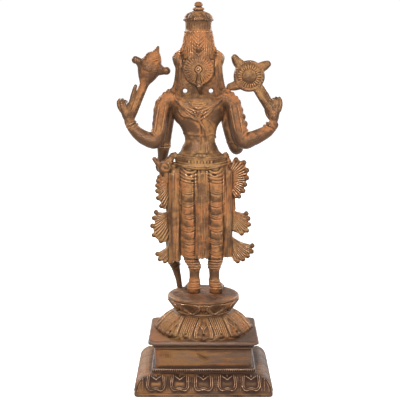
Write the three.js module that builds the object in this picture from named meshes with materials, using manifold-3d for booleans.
// Four-armed standing deity in cast bronze on a round double lotus, with its moulded plinth.
// Millimetres, +Z up. The origin is the middle of the underside, and the figure faces -Y.

import * as THREE from 'three';
import { mergeVertices } from 'three/addons/utils/BufferGeometryUtils.js';
import Module from 'manifold-3d';

const wasm = await Module();
wasm.setup();

// Driving dimensions of the plinth
const FOOT_BAND_HEIGHT = 4.3;
const OVOLO_HEIGHT = 10.5;
const FILLET_HEIGHT = 3.7;
const DADO_HEIGHT = 15.5;
const CORNICE_HEIGHT = 3.4;
const SLAB_THICKNESS = 3.7;
const SLAB_WIDTH = 86.4;
const SLAB_DEPTH = 69.3;
const DADO_SETBACK = 5.2;
const LEDGE_RUN = 4.7;
const FOOT_SPREAD = 10.8;
const CORNER_RADIUS = 4.5;
const PLINTH_PETAL_PITCH = 18.3;
const PLINTH_PETAL_RELIEF = 1;

// Driving dimensions of the double lotus
const LOWER_LOTUS_HEIGHT = 17;
const UPPER_LOTUS_HEIGHT = 12.9;
const LOTUS_SIDE_MARGIN = 5.6;
const LOTUS_BACK_MARGIN = 1.1;
const LOTUS_NECK_RADIUS = 22.3;
const DISC_MARGIN = 4.4;
const LOTUS_PETALS = 8;
const LOTUS_PETAL_RELIEF = 2.6;

// The figure's own height, from the lotus to the tip of the crown.
// Every place and girth of the figure is a thousandth share of it.
const FIGURE_HEIGHT = 229;
const TOE_REACH = 105;

// Levels and spans worked out from the sizes above
const slabTop =
  FOOT_BAND_HEIGHT + OVOLO_HEIGHT + FILLET_HEIGHT + DADO_HEIGHT + CORNICE_HEIGHT + SLAB_THICKNESS;
const lotusNeck = slabTop + LOWER_LOTUS_HEIGHT;
const lotusTop = lotusNeck + UPPER_LOTUS_HEIGHT;
const share = FIGURE_HEIGHT / 1000;
const discRadius = TOE_REACH * share + DISC_MARGIN;

// Joins and point helpers

function solidOf(geometry) {
  const bare = geometry.clone();
  bare.deleteAttribute('normal');
  bare.deleteAttribute('uv');
  const merged = mergeVertices(bare, 1e-4);
  return new wasm.Manifold(new wasm.Mesh({
    numProp: 3,
    vertProperties: Float32Array.from(merged.attributes.position.array),
    triVerts: Uint32Array.from(merged.index.array),
  }));
}

function joined(solids) {
  return solids.reduce((whole, solid) => whole.add(solid));
}

function geometryOf(solid) {
  const mesh = solid.getMesh();
  const geometry = new THREE.BufferGeometry();
  geometry.setAttribute('position', new THREE.BufferAttribute(mesh.vertProperties, 3));
  geometry.setIndex(new THREE.BufferAttribute(mesh.triVerts, 1));
  return geometry;
}

// Builds one closed body from points and triangles, and turns its faces outward.
function closedBody(points, triangles) {
  const corner = (index) => points[index];
  const volume = triangles.reduce(
    (sum, [a, b, c]) => sum + corner(a).dot(corner(b).clone().cross(corner(c))),
    0,
  );
  const outward = volume < 0 ? triangles.map(([a, b, c]) => [a, c, b]) : triangles;
  const geometry = new THREE.BufferGeometry().setFromPoints(points);
  geometry.setIndex(outward.flat());
  return solidOf(geometry);
}

// A place on the figure, in thousandths of its height above the lotus.
function at(x, y, z) {
  return new THREE.Vector3(x * share, y * share, lotusTop + z * share);
}

function mix(a, b, t) {
  return a + (b - a) * t;
}

// The value a share of the way along a row of evenly spaced values.
function mixAlong(values, t) {
  const last = values.length - 1;
  const index = Math.min(Math.floor(t * last), last - 1);
  return mix(values[index], values[index + 1], t * last - index);
}

// Skins a stack of closed loops with the same number of points, and caps both ends.
function skinned(loops) {
  const sides = loops[0].length;
  const points = loops.flat();
  const triangles = [];
  for (let level = 0; level + 1 < loops.length; level += 1) {
    for (let side = 0; side < sides; side += 1) {
      const next = (side + 1) % sides;
      const low = level * sides;
      const high = low + sides;
      triangles.push([low + side, low + next, high + next]);
      triangles.push([low + side, high + next, high + side]);
    }
  }
  const lastLoop = (loops.length - 1) * sides;
  for (let side = 1; side + 1 < sides; side += 1) {
    triangles.push([0, side + 1, side]);
    triangles.push([lastLoop, lastLoop + side, lastLoop + side + 1]);
  }
  return closedBody(points, triangles);
}

// An upright form from oval sections: level, middle x and y, half width, half depth.
function loft(sections, sides = 16, squareness = 1) {
  const rounding = (value) => Math.sign(value) * Math.abs(value) ** squareness;
  return skinned(sections.map(([z, x, y, halfX, halfY]) => {
    const loop = [];
    for (let side = 0; side < sides; side += 1) {
      const angle = (2 * Math.PI * side) / sides;
      loop.push(at(x + halfX * rounding(Math.cos(angle)), y + halfY * rounding(Math.sin(angle)), z));
    }
    return loop;
  }));
}

// A round limb through places with their radii, flat where it starts and rounded at its far end.
function limbThrough(places, radii, sides = 8, flatness = 1) {
  const directionAt = (index) => {
    const before = places[Math.max(index - 1, 0)];
    const after = places[Math.min(index + 1, places.length - 1)];
    return after.clone().sub(before).normalize();
  };
  const first = directionAt(0);
  const alongDepth = Math.abs(first.y) > 0.9;
  let across = alongDepth ? new THREE.Vector3(1, 0, 0) : new THREE.Vector3(0, 1, 0);
  const ring = (center, direction, radius) => {
    across = across.clone().addScaledVector(direction, -across.dot(direction)).normalize();
    const other = direction.clone().cross(across);
    const loop = [];
    for (let side = 0; side < sides; side += 1) {
      const angle = (2 * Math.PI * side) / sides;
      loop.push(center.clone()
        .addScaledVector(across, radius * flatness * Math.cos(angle))
        .addScaledVector(other, radius * Math.sin(angle)));
    }
    return loop;
  };
  const last = places.length - 1;
  const loops = places.map((place, index) => ring(place, directionAt(index), radii[index]));
  const final = directionAt(last);
  const tip = places[last].clone().addScaledVector(final, 0.7 * radii[last]);
  loops.push(ring(tip, final, 0.6 * radii[last]));
  return skinned(loops);
}

// The same limb from rows of x, y, z and radius, all in thousandths.
function limb(rows, sides = 8, flatness = 1) {
  return limbThrough(
    rows.map(([x, y, z]) => at(x, y, z)),
    rows.map((row) => row[3] * share),
    sides,
    flatness,
  );
}

function ball([x, y, z], [halfX, halfY, halfZ], around = 10, levels = 6) {
  const geometry = new THREE.SphereGeometry(share, around, levels);
  geometry.rotateX(Math.PI / 2);
  geometry.scale(halfX, halfY, halfZ);
  const center = at(x, y, z);
  geometry.translate(center.x, center.y, center.z);
  return solidOf(geometry);
}

// A turned form about an upright axis at x, y: rows of radius and level.
function turned([x, y], rows, segments = 20, depthShare = 1) {
  const profile = rows.map(([radius, z]) => new THREE.Vector2(radius * share, z * share));
  const geometry = new THREE.LatheGeometry(profile, segments);
  geometry.rotateX(Math.PI / 2);
  geometry.scale(1, depthShare, 1);
  geometry.translate(x * share, y * share, lotusTop);
  return solidOf(geometry);
}

// A round ornament that faces the back: rows of radius, depth and the height of its rays.
function rosette([x, z], rows, rays) {
  return skinned(rows.map(([radius, y, relief]) => {
    const loop = [];
    for (let step = 0; step < 2 * rays; step += 1) {
      const angle = (Math.PI * step) / rays;
      const crest = step % 2 === 0 ? relief : 0;
      loop.push(at(x + radius * Math.cos(angle), y + crest, z + radius * Math.sin(angle)));
    }
    return loop;
  }));
}

// A plate between two grids of points that match row by row.
function plate(frontGrid, backGrid) {
  const rows = frontGrid.length;
  const columns = frontGrid[0].length;
  const points = [...frontGrid.flat(), ...backGrid.flat()];
  const back = rows * columns;
  const triangles = [];
  const quad = (a, b, c, d) => triangles.push([a, b, c], [a, c, d]);
  for (let row = 0; row + 1 < rows; row += 1) {
    for (let column = 0; column + 1 < columns; column += 1) {
      const a = row * columns + column;
      quad(a, a + 1, a + columns + 1, a + columns);
      quad(back + a, back + a + columns, back + a + columns + 1, back + a + 1);
    }
  }
  for (let column = 0; column + 1 < columns; column += 1) {
    const far = (rows - 1) * columns + column;
    quad(column + 1, column, back + column, back + column + 1);
    quad(far, far + 1, back + far + 1, back + far);
  }
  for (let row = 0; row + 1 < rows; row += 1) {
    const left = row * columns;
    const right = left + columns - 1;
    quad(left, left + columns, back + left + columns, back + left);
    quad(right + columns, right, back + right, back + right + columns);
  }
  return closedBody(points, triangles);
}

// A pleated fan of cloth that spreads sideways from its root, with one scallop to each pleat.
function fan({ root, y, from, to, reach, pleats, side }) {
  const radialSteps = [0.15, 1];
  const grid = (face) => radialSteps.map((step) => {
    const row = [];
    for (let ray = 0; ray <= 2 * pleats; ray += 1) {
      const along = ray / (2 * pleats);
      const angle = THREE.MathUtils.degToRad(mix(from, to, along));
      const crest = ray % 2;
      const edge = step === 1 && crest === 0 ? 0.86 : 1;
      const radius = mixAlong(reach, along) * step * edge;
      const pleat = face * (5 + 5 * crest * step);
      row.push(at(
        root[0] + side * radius * Math.cos(angle),
        y + pleat + 6 * step,
        root[1] + radius * Math.sin(angle),
      ));
    }
    return row;
  });
  return plate(grid(-1), grid(1));
}

// An upright panel of cloth whose back or front stands in vertical pleats.
function pleatedPanel({ left, right, low, high, inner, outer, pleats }) {
  const outline = new THREE.Shape();
  outline.moveTo(left * share, inner * share);
  outline.lineTo(right * share, inner * share);
  for (let fold = 0; fold <= 2 * pleats; fold += 1) {
    const x = mix(right, left, fold / (2 * pleats));
    const y = fold % 2 === 0 ? mix(inner, outer, 0.7) : outer;
    outline.lineTo(x * share, y * share);
  }
  outline.closePath();
  const geometry = new THREE.ExtrudeGeometry(outline, {
    depth: (high - low) * share,
    bevelEnabled: false,
  });
  geometry.translate(0, 0, lotusTop + low * share);
  return solidOf(geometry);
}

// Plinth

// A rounded rectangle as a loop of points, the same number on each side whatever its size.
function rectangleLoop({ halfX, halfY, radius, z, cornerSteps, widthSteps, depthSteps, relief, slope }) {
  const loop = [];
  const corners = [[1, 1], [-1, 1], [-1, -1], [1, -1]];
  corners.forEach(([signX, signY], index) => {
    const start = (index * Math.PI) / 2;
    const centerX = signX * (halfX - radius);
    const centerY = signY * (halfY - radius);
    for (let step = 0; step <= cornerSteps; step += 1) {
      const angle = start + (step / cornerSteps) * (Math.PI / 2);
      loop.push(new THREE.Vector3(
        centerX + radius * Math.cos(angle),
        centerY + radius * Math.sin(angle),
        z,
      ));
    }
    const alongWidth = index % 2 === 0;
    const steps = alongWidth ? widthSteps : depthSteps;
    const [nextX, nextY] = corners[(index + 1) % 4];
    const from = loop[loop.length - 1].clone();
    const to = alongWidth
      ? new THREE.Vector3(nextX * (halfX - radius), from.y, z)
      : new THREE.Vector3(from.x, nextY * (halfY - radius), z);
    const outward = alongWidth ? new THREE.Vector3(0, signY, 0) : new THREE.Vector3(nextX, 0, 0);
    for (let step = 1; step < steps; step += 1) {
      const rise = relief(step / steps, alongWidth);
      const point = from.clone().lerp(to, step / steps).addScaledVector(outward, rise * Math.cos(slope));
      point.z += rise * Math.sin(slope);
      loop.push(point);
    }
  });
  return loop;
}

function buildPlinth() {
  const dadoX = SLAB_WIDTH / 2 - DADO_SETBACK;
  const dadoY = SLAB_DEPTH / 2 - DADO_SETBACK;
  const lip = LEDGE_RUN;
  const foot = LEDGE_RUN + FOOT_SPREAD;
  const ovoloBottom = FOOT_BAND_HEIGHT;
  const ovoloTop = ovoloBottom + OVOLO_HEIGHT;
  const dadoBottom = ovoloTop + FILLET_HEIGHT;
  const corniceBottom = dadoBottom + DADO_HEIGHT;
  const slabBottom = corniceBottom + CORNICE_HEIGHT;

  const petalsWide = Math.max(1, Math.round((2 * (dadoX + lip) - CORNER_RADIUS) / PLINTH_PETAL_PITCH));
  const petalsDeep = Math.max(1, Math.round((2 * (dadoY + lip) - CORNER_RADIUS) / PLINTH_PETAL_PITCH));
  const petalShape = [0, 1, 0.5, 1];
  const petalSteps = petalShape.length;
  const mouldingLoop = (spread, z, amount, slope) => rectangleLoop({
    halfX: dadoX + spread,
    halfY: dadoY + spread,
    radius: CORNER_RADIUS,
    z,
    cornerSteps: 2,
    widthSteps: petalsWide * petalSteps,
    depthSteps: petalsDeep * petalSteps,
    relief: (along, wide) => {
      const step = Math.round(along * (wide ? petalsWide : petalsDeep) * petalSteps);
      return amount * PLINTH_PETAL_RELIEF * petalShape[step % petalSteps];
    },
    slope,
  });
  const ovoloLevels = [[0, 0], [0.15, 1], [0.5, 1], [0.85, 0.8], [1, 0]].map(([level, amount]) => {
    const turn = (level * Math.PI) / 2;
    const spread = mix(lip, foot, Math.cos(turn) ** 0.9);
    return mouldingLoop(spread, ovoloBottom + OVOLO_HEIGHT * Math.sin(turn) ** 1.15, amount, turn);
  });
  const moulding = [mouldingLoop(foot, 0, 0, 0), ...ovoloLevels];

  const blockLoop = (halfX, halfY, z) => rectangleLoop({
    halfX,
    halfY,
    radius: 0.7 * CORNER_RADIUS,
    z,
    cornerSteps: 2,
    widthSteps: 1,
    depthSteps: 1,
    relief: () => 0,
    slope: 0,
  });
  const chamfer = 0.3 * SLAB_THICKNESS;
  const [filletSpread, flare, corniceSpread, softEdge] = [0.6 * lip, 0.5, 0.25 * DADO_SETBACK, 0.6];
  const slabUnderside = 0.6 * DADO_SETBACK;
  const block = [
    [filletSpread, ovoloTop - 0.3 * OVOLO_HEIGHT],
    [filletSpread, ovoloTop + 0.2 * FILLET_HEIGHT],
    [flare, dadoBottom],
    [0, dadoBottom + softEdge],
    [0, corniceBottom],
    [corniceSpread, corniceBottom + softEdge],
    [corniceSpread + flare, slabBottom - softEdge],
    [slabUnderside, slabBottom],
    [DADO_SETBACK, slabBottom + chamfer],
    [DADO_SETBACK, slabTop - chamfer],
    [DADO_SETBACK - softEdge, slabTop],
  ].map(([spread, z]) => blockLoop(dadoX + spread, dadoY + spread, z));
  return joined([skinned(moulding), skinned(block)]);
}

// Double lotus

// One level of the lotus: an oval loop that swells at each petal.
function lotusLoop(halfX, halfY, z, swell, phase) {
  const steps = LOTUS_PETALS * 4;
  const loop = [];
  for (let step = 0; step < steps; step += 1) {
    const angle = (2 * Math.PI * step) / steps + Math.PI / 2;
    const petal = Math.abs(Math.cos((LOTUS_PETALS * (angle - Math.PI / 2)) / 2 + phase));
    const radius = 1 - (swell * (1 - petal)) / halfX;
    loop.push(new THREE.Vector3(
      halfX * radius * Math.cos(angle),
      halfY * radius * Math.sin(angle),
      z,
    ));
  }
  return loop;
}

function buildLotus() {
  const footX = SLAB_WIDTH / 2 - LOTUS_SIDE_MARGIN;
  const footY = SLAB_DEPTH / 2 - LOTUS_BACK_MARGIN;
  const lowerRows = [
    [0, 0.99, 0.8],
    [0.2, 0.98, 1],
    [0.34, 0.84, 1],
    [0.6, 0.52, 0.9],
    [0.93, 0.03, 0.1],
  ];
  const upperRows = [
    [0.1, 0, 0],
    [0.42, 0.45, 0.9],
    [0.7, 0.9, 1],
    [0.82, 0.97, 0],
    [0.94, 1, 0],
    [1, 0.96, 0],
  ];
  const lower = lowerRows.map(([rise, open, swell]) => lotusLoop(
    mix(LOTUS_NECK_RADIUS, footX, open),
    mix(LOTUS_NECK_RADIUS, footY, open),
    slabTop + LOWER_LOTUS_HEIGHT * rise,
    swell * LOTUS_PETAL_RELIEF,
    0,
  ));
  const upper = upperRows.map(([rise, open, swell]) => lotusLoop(
    mix(LOTUS_NECK_RADIUS, discRadius, open),
    mix(LOTUS_NECK_RADIUS, discRadius, open),
    lotusNeck + UPPER_LOTUS_HEIGHT * rise,
    swell * LOTUS_PETAL_RELIEF,
    Math.PI / 2,
  ));
  return skinned([...lower, ...upper]);
}

// Figure

// The trunk's oval sections from the hips to the jaw: level, x, y, half width, half depth.
const TRUNK = [
  [444, 5, 1, 88, 52],
  [453, 5, 1, 94, 56],
  [466, 7, 1, 88, 51],
  [482, 9, 1, 90, 52],
  [493, 12, 0, 71, 44],
  [517, 13, -3, 59, 39],
  [541, 12, -3, 51, 35],
  [582, 15, -1, 63, 38],
  [606, 18, 0, 80, 42],
  [645, 18, 0, 91, 43],
  [676, 18, -1, 92, 36],
  [696, 17, -4, 58, 26],
  [704, 17, -7, 29, 24],
  [735, 17, -10, 27, 25],
];

// How far back the trunk's surface stands at a place, so that jewellery can lie on it.
function trunkBack(x, z) {
  const above = Math.max(1, TRUNK.findIndex(([level]) => level >= z));
  const [low, high] = [TRUNK[above - 1], TRUNK[above]];
  const t = (z - low[0]) / (high[0] - low[0]);
  const [middleX, middleY, halfX, halfY] = [1, 2, 3, 4].map((column) => mix(low[column], high[column], t));
  const across = THREE.MathUtils.clamp((x - middleX) / halfX, -0.97, 0.97);
  return { back: middleY + halfY * Math.sqrt(1 - across * across), middle: middleY };
}

// A strand that follows the trunk through places given as x and z, on its back or its front.
function strand(places, radius, face = 1) {
  const rows = places.map(([x, z]) => {
    const { back, middle } = trunkBack(x, z);
    return [x, middle + face * (back - middle), z, radius];
  });
  return limb(rows, 4);
}

// Places along a hanging arc between two ends, with its lowest point between them.
function hangingArc([leftX, leftZ], [rightX, rightZ], drop, steps = 5) {
  return Array.from({ length: steps + 1 }, (_, step) => {
    const t = step / steps;
    return [mix(leftX, rightX, t), mix(leftZ, rightZ, t) - drop * 4 * t * (1 - t)];
  });
}

function buildTrunk() {
  return [
    loft(TRUNK, 12),
    strand(hangingArc([92, 668], [-58, 668], 46), 7),
    strand(hangingArc([88, 668], [-54, 668], 44), 7, -1),
    strand([[84, 640], [22, 606], [2, 585], [-8, 541], [-12, 500]], 5),
    ball([98, 6, 486], [11, 13, 10], 5, 4),
    ball([-75, 6, 486], [11, 13, 10], 5, 4),
    ball([10, 48, 488], [22, 9, 9], 6, 4),
    ball([8, -52, 472], [22, 12, 20], 7, 4),
  ];
}

// One leg from the sole to the hip: x at the thigh, knee, ankle and heel, and the toes' turn.
function buildLeg({ thigh, knee, ankle, heel, turnOut }) {
  const [top, hem] = [448, 146];
  const swags = [372, 328, 286, 241, 196].flatMap((level) => [[level + 7, 1.1], [level - 9, 0.98]]);
  const thighRows = [[top, 0.7], [top - 16, 1.12], [top - 46, 1], ...swags, [hem, 1]].map(([z, girth]) => {
    const down = (top - z) / (top - hem);
    return [z, mix(thigh, knee, down), 3, 28 * girth, mix(47, 38, down) * girth];
  });
  const shinRows = [
    [124, mix(ankle, knee, 0.7), 0, 26, 28],
    [94, ankle, 0, 19, 22],
    [80, ankle, 0, 15, 17],
    [44, ankle, 2, 16, 16],
    [28, heel, 2, 23, 20],
    [0, heel, 0, 23, 18],
  ];
  const foot = limb([
    [heel, 0, 8, 15],
    [heel + turnOut * 8, -40, 8, 15],
    [heel + turnOut * 15, -72, 5, 15],
    [heel + turnOut * 17, -84, 4, 12],
  ], 7);
  return [loft([...thighRows, ...shinRows].reverse(), 8), foot];
}

function buildSkirt() {
  const backPleats = { low: 136, high: 446, inner: 20, outer: 56 };
  const frontPleats = { low: 136, high: 446, inner: -20, outer: -54 };
  const body = loft([
    [138, 5, 2, 74, 26],
    [200, 5, 2, 76, 30],
    [452, 5, 2, 80, 40],
  ], 12, 0.8);
  const fans = [
    fan({ root: [-80, 402], y: 8, from: 76, to: -64, reach: [78, 92, 80, 69, 73, 78], pleats: 5, side: -1 }),
    fan({ root: [-90, 300], y: 8, from: -8, to: -82, reach: [56, 68, 98, 108, 62], pleats: 4, side: -1 }),
    fan({ root: [-92, 204], y: 8, from: -22, to: -80, reach: [80, 101, 102, 98], pleats: 4, side: -1 }),
    fan({ root: [100, 405], y: 8, from: 16, to: -72, reach: [54, 62, 84, 122], pleats: 4, side: 1 }),
    fan({ root: [105, 292], y: 8, from: 0, to: -76, reach: [60, 74, 112, 118], pleats: 4, side: 1 }),
    fan({ root: [100, 192], y: 8, from: -38, to: -86, reach: [78, 92, 86], pleats: 3, side: 1 }),
  ];
  return [
    body,
    pleatedPanel({ left: -19, right: 29, pleats: 4, ...backPleats }),
    pleatedPanel({ left: -19, right: 29, pleats: 4, ...frontPleats }),
    pleatedPanel({ left: 82, right: 122, low: 118, high: 440, inner: -24, outer: 36, pleats: 3 }),
    pleatedPanel({ left: -100, right: -66, low: 134, high: 452, inner: -24, outer: 36, pleats: 3 }),
    limb([[90, 6, 446, 14], [116, 8, 440, 15], [138, 8, 438, 18]], 7),
    limb([[140, 2, 440, 9], [168, -2, 472, 8]], 5),
    limb([[104, 0, 450, 12], [112, 4, 400, 13], [108, 4, 300, 10]], 5),
    limb([[-76, 4, 486, 8], [-86, 4, 450, 13], [-94, 4, 400, 12], [-104, 4, 300, 8]], 5),
    limb([[128, 10, 448, 20], [118, 6, 466, 13], [106, 4, 484, 10]], 5),
    ...fans,
    limb([
      [92, -24, 448, 8],
      [60, -50, 405, 9],
      [5, -60, 386, 10],
      [-50, -50, 405, 9],
      [-84, -24, 448, 8],
    ], 5),
  ];
}

function buildHead() {
  const x = 17;
  const crown = turned([x, 2], [
    [0, 790],
    [56, 812],
    [57, 842],
    [47, 902],
    [41, 910],
    [48, 930],
    [47, 944],
    [34, 960],
    [14, 971],
    [18, 977],
    [9, 983],
    [14, 991],
    [0, 1000],
  ], 12, 0.95);
  const hair = loft([
    [672, 17, 0, 92, 14],
    [702, 17, 6, 98, 19],
    [718, 16, 9, 90, 21],
    [741, 13, 12, 85, 22],
    [790, 15, 14, 77, 23],
    [806, 15, 12, 62, 22],
  ], 12, 0.8);
  const wings = [-1, 1].map((side) => loft([
    [784, x + side * 60, 8, 16, 16],
    [800, x + side * 64, 8, 21, 20],
    [822, x + side * 65, 8, 22, 20],
    [833, x + side * 60, 8, 15, 12],
  ], 7));
  const holes = [62, -25].map((holeX) => limb([[holeX, -70, 705, 7.5], [holeX, 70, 705, 7.5]], 8));
  const wheelLevel = 778;
  const wheel = rosette([x, wheelLevel], [
    [40, 30, 0],
    [53, 50, 0],
    [50, 59, 3],
    [16, 62, 5],
  ], 11);
  const face = [
    ball([x, -20, 760], [39, 44, 56], 10, 6),
    limb([[x, -60, 774, 3], [x, -66, 760, 5], [x, -65, 754, 7]], 5),
    ball([x, -58, 736], [13, 7, 5], 6, 4),
    ball([x - 16, -54, 769], [10, 6, 5], 6, 4),
    ball([x + 16, -54, 769], [10, 6, 5], 6, 4),
    loft([[788, x, -4, 42, 44], [797, x, -4, 50, 53], [806, x, -4, 50, 53], [814, x, -4, 42, 44]], 12),
  ];
  const ears = [-1, 1].map((side) => limb([
    [x + side * 40, -12, 776, 9],
    [x + side * 43, -14, 748, 7],
    [x + side * 50, -14, 730, 14],
    [x + side * 50, -14, 714, 9],
  ], 5));
  const solids = [
    hair,
    crown,
    ...wings,
    wheel,
    ...face,
    ...ears,
    ball([x, 66, wheelLevel], [8, 8, 8], 6, 4),
    limb([[x, 66, wheelLevel - 4, 3.5], [x - 1, 58, 738, 6], [x - 3, 38, 716, 9]], 6),
  ];
  return [holes.reduce((whole, hole) => whole.subtract(hole), joined(solids))];
}

// Fingers as rows of a root and a tip, each a short tapered limb.
function fingers(rows, radius) {
  return rows.map(([root, tip]) => limb([[...root, radius], [...tip, radius * 0.8]], 4));
}

function buildRearArms() {
  const left = [
    limb([
      [86, 0, 680, 20],
      [118, 4, 676, 26],
      [139, 8, 652, 27],
      [146, 14, 610, 25],
      [152, 18, 565, 25],
      [164, 19, 539, 27],
      [190, 18, 545, 24],
      [214, 14, 558, 21],
      [234, 10, 577, 19],
      [243, 9, 588, 22],
      [252, 6, 602, 15],
      [264, 4, 622, 18],
      [274, 2, 636, 16],
    ], 8),
    ...fingers([
      [[278, 2, 636], [288, -6, 670]],
      [[268, 2, 640], [271, -10, 668]],
      [[260, 0, 626], [241, -12, 648]],
      [[256, 8, 640], [231, 6, 720]],
    ], 6.5),
    limb([[246, 2, 612, 13], [234, 4, 646, 16], [202, 4, 722, 14], [192, 4, 752, 20]], 6, 0.7),
  ];
  const right = [
    limb([
      [-52, 0, 680, 20],
      [-82, 4, 676, 26],
      [-102, 8, 652, 27],
      [-111, 14, 612, 27],
      [-121, 18, 570, 28],
      [-136, 19, 539, 28],
      [-162, 18, 545, 25],
      [-188, 14, 556, 22],
      [-214, 10, 571, 20],
      [-225, 9, 580, 23],
      [-236, 6, 594, 15],
      [-245, 4, 618, 18],
      [-249, 2, 636, 16],
    ], 8),
    ...fingers([
      [[-256, 2, 638], [-259, -6, 676]],
      [[-245, 2, 640], [-241, -10, 678]],
      [[-236, 0, 626], [-215, -12, 650]],
      [[-242, 8, 640], [-199, 6, 718]],
    ], 6.5),
    limb([[-240, 2, 608, 12], [-222, 4, 642, 13], [-182, 4, 708, 13]], 6, 0.7),
  ];
  return [...left, ...right];
}

function buildConch() {
  return [
    ball([180, 4, 778], [38, 26, 34], 9, 5),
    limb([[200, 4, 788, 20], [214, 3, 799, 14], [228, 0, 808, 13]], 6),
    limb([
      [174, 4, 802, 33],
      [170, 4, 808, 27],
      [168, 3, 812, 29],
      [164, 3, 820, 20],
      [162, 2, 823, 22],
      [154, 0, 846, 9],
    ], 8),
    limb([[152, 4, 776, 20], [138, 3, 771, 13], [124, 0, 771, 13]], 6),
  ];
}

function buildDisc() {
  const [x, z] = [-154, 754];
  const flames = [[-128, 788, -104, 816], [-190, 778, -217, 795], [-122, 727, -87, 718]];
  return [
    rosette([x, z], [
      [44, -12, 3],
      [51, 2, 0],
      [46, 14, 3],
      [26, 16, 3],
      [18, 21, 0],
    ], 10),
    ...flames.map(([baseX, baseZ, tipX, tipZ]) => limb([
      [baseX, 2, baseZ, 17],
      [mix(baseX, tipX, 0.5), 2, mix(baseZ, tipZ, 0.5), 15],
      [tipX, 2, tipZ, 10],
    ], 6, 0.7)),
  ];
}

function buildFrontArms() {
  const maceFoot = new THREE.Vector3(0.68 * discRadius, -0.65 * discRadius, lotusTop);
  const macePlaces = [
    at(149, -64, 446),
    at(147, -64, 430),
    at(144, -66, 412),
    at(118, -74, 250),
    at(112, -76, 205),
    at(104, -78, 130),
    at(100, -79, 96),
    at(93, -80, 66),
    maceFoot,
  ];
  const maceRadii = [11, 16, 10, 10, 24, 25, 17, 10, 8].map((radius) => radius * share);
  const left = [
    limb([
      [114, -12, 656, 25],
      [124, -22, 600, 23],
      [136, -30, 520, 22],
      [141, -44, 480, 18],
      [147, -58, 452, 14],
      [150, -74, 444, 17],
      [150, -86, 438, 14],
    ], 7),
    limb([[150, -84, 440, 13], [150, -90, 416, 11]], 5),
    limbThrough(macePlaces, maceRadii, 6),
  ];
  const right = [
    limb([
      [-80, -12, 656, 24],
      [-88, -20, 600, 27],
      [-105, -20, 536, 27],
      [-114, -30, 508, 24],
      [-112, -52, 520, 20],
      [-101, -77, 549, 17],
      [-95, -87, 562, 20],
      [-92, -92, 574, 14],
      [-88, -96, 594, 15],
      [-87, -97, 610, 14],
    ], 7),
    ...fingers([
      [[-98, -97, 610], [-100, -100, 648]],
      [[-90, -97, 612], [-90, -100, 656]],
      [[-82, -97, 612], [-80, -100, 652]],
      [[-76, -97, 606], [-71, -100, 638]],
      [[-98, -96, 592], [-113, -102, 616]],
    ], 5),
  ];
  return [...left, ...right];
}

function buildFigure() {
  const legs = [
    { thigh: 56, knee: 46, ankle: 31, heel: 33, turnOut: 1 },
    { thigh: -46, knee: -45, ankle: -38, heel: -44, turnOut: -1 },
  ];
  return joined([
    buildLotus(),
    ...buildTrunk(),
    ...legs.flatMap(buildLeg),
    ...buildSkirt(),
    ...buildHead(),
    ...buildRearArms(),
    ...buildConch(),
    ...buildDisc(),
    ...buildFrontArms(),
  ]);
}

// Assembly

function piece(name, solid, color) {
  const material = new THREE.MeshStandardMaterial({ color, roughness: 0.55, metalness: 0.6 });
  const mesh = new THREE.Mesh(geometryOf(solid), material);
  mesh.name = name;
  return mesh;
}

const model = new THREE.Group();
model.add(piece('figure', buildFigure(), '#a8703f'));
model.add(piece('plinth', buildPlinth(), '#8f6440'));

export default model;
